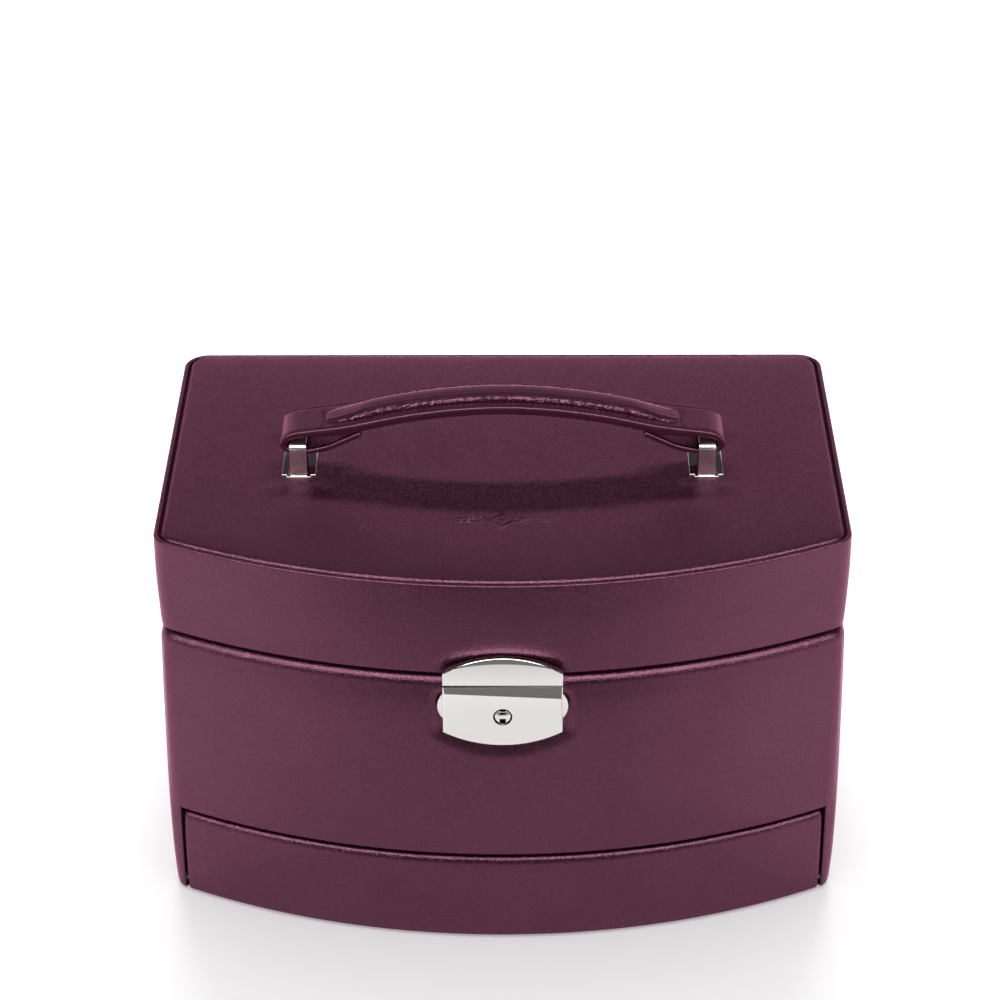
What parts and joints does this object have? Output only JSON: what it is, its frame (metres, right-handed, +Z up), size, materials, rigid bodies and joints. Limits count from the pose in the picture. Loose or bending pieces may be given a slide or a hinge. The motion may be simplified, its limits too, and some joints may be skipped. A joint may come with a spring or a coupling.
{
  "type": "jewellery case",
  "caption": "Bow-fronted leather jewellery case with hinged lid, carrying handle, push-button lock, lift-out tray with ring rolls, mirror and a drawer in the base.",
  "frame": {"origin": "middle of the underside, on the surface that the case stands on", "axes": "+X along the width, to the right as seen from the front, -Y towards the bowed front with the lock, +Z up"},
  "size_m": [0.2396, 0.1694, 0.1783],
  "materials": {
    "leather_outer": "smooth plum leather with fine grain, satin gloss",
    "leather_handle": "smooth plum leather, satin gloss",
    "board": "bare fibre board",
    "felt": "dense felt",
    "velour": "short cream velour",
    "foam": "soft foam sheet",
    "mirror_glass": "silvered glass",
    "nickel": "polished nickel plate",
    "steel": "plain steel"
  },
  "bodies": {
    "case": {"base_felt": "felt", "base_board": "board", "back_board": "board", "side_board_left": "board", "side_board_right": "board", "front_board": "board", "shelf_board": "board", "body_leather": "leather_outer", "compartment_lining": "velour", "tray_ledges": "velour", "drawer_glides": "felt", "hinge_leaves_body": "nickel", "hinge_pins": "nickel", "hinge_screws_body": "nickel", "lock_lower_plate": "nickel", "lock_case": "steel", "lock_case_screws": "steel", "button_spring_left": "steel", "button_spring_right": "steel"},
    "lid": {"lid_rail_front": "board", "lid_rail_back": "board", "lid_rail_left": "board", "lid_rail_right": "board", "lid_top_board": "board", "lid_band_leather": "leather_outer", "lid_top_panel": "leather_outer", "lid_panel_foam": "foam", "lid_lining": "velour", "mirror_frame": "velour", "mirror": "mirror_glass", "hinge_leaves_lid": "nickel", "hinge_screws_lid": "nickel", "lock_upper_plate": "nickel", "hasp_tongue": "steel", "handle_plate_left": "nickel", "handle_plate_right": "nickel", "handle_staple_left": "nickel", "handle_staple_right": "nickel", "handle_strap": "leather_handle", "handle_core": "leather_handle"},
    "drawer": {"drawer_front_board": "board", "drawer_front_leather": "leather_outer", "drawer_box": "board", "drawer_lining": "velour", "drawer_partitions": "velour"},
    "tray": {"tray_box": "board", "tray_lining": "velour", "tray_partitions": "velour", "ring_rolls": "velour", "tray_pulls": "leather_handle"},
    "button_left": {"button_left": "nickel"},
    "button_right": {"button_right": "nickel"},
    "key": {"key_barrel": "nickel", "lock_cam": "steel"},
    "bolt": {"lock_bolt": "steel"}
  },
  "joints": [
    {"name": "lid_hinge", "type": "hinge", "parent": "case", "child": "lid", "pos_m": [0, 0.0834, 0.11105], "axis": [-1, 0, 0], "range_deg": [0, 100]},
    {"name": "drawer_slide", "type": "slide", "parent": "case", "child": "drawer", "axis": [0, -1, 0], "range_m": [0, 0.11]},
    {"name": "tray_lift", "type": "slide", "parent": "case", "child": "tray", "axis": [0, 0, 1], "range_m": [0, 0.045]},
    {"name": "button_left_push", "type": "slide", "parent": "case", "child": "button_left", "axis": [1, 0, 0], "range_m": [0, 0.0015], "stiffness_N_per_m": 300, "deforming": ["button_spring_left"]},
    {"name": "button_right_push", "type": "slide", "parent": "case", "child": "button_right", "axis": [-1, 0, 0], "range_m": [0, 0.0015], "stiffness_N_per_m": 300, "deforming": ["button_spring_right"]},
    {"name": "key_turn", "type": "hinge", "parent": "case", "child": "key", "pos_m": [0, -0.08, 0.0966], "axis": [0, 1, 0], "range_deg": [0, 90]},
    {"name": "bolt_throw", "type": "slide", "parent": "case", "child": "bolt", "axis": [1, 0, 0], "range_m": [0, 0.0036]}
  ],
  "couplings": [
    {"joint": "tray_lift", "follows": "lid_hinge", "m_per_rad": 0.02573},
    {"joint": "key_turn", "follows": "bolt_throw", "rad_per_m": 436.3}
  ]
}
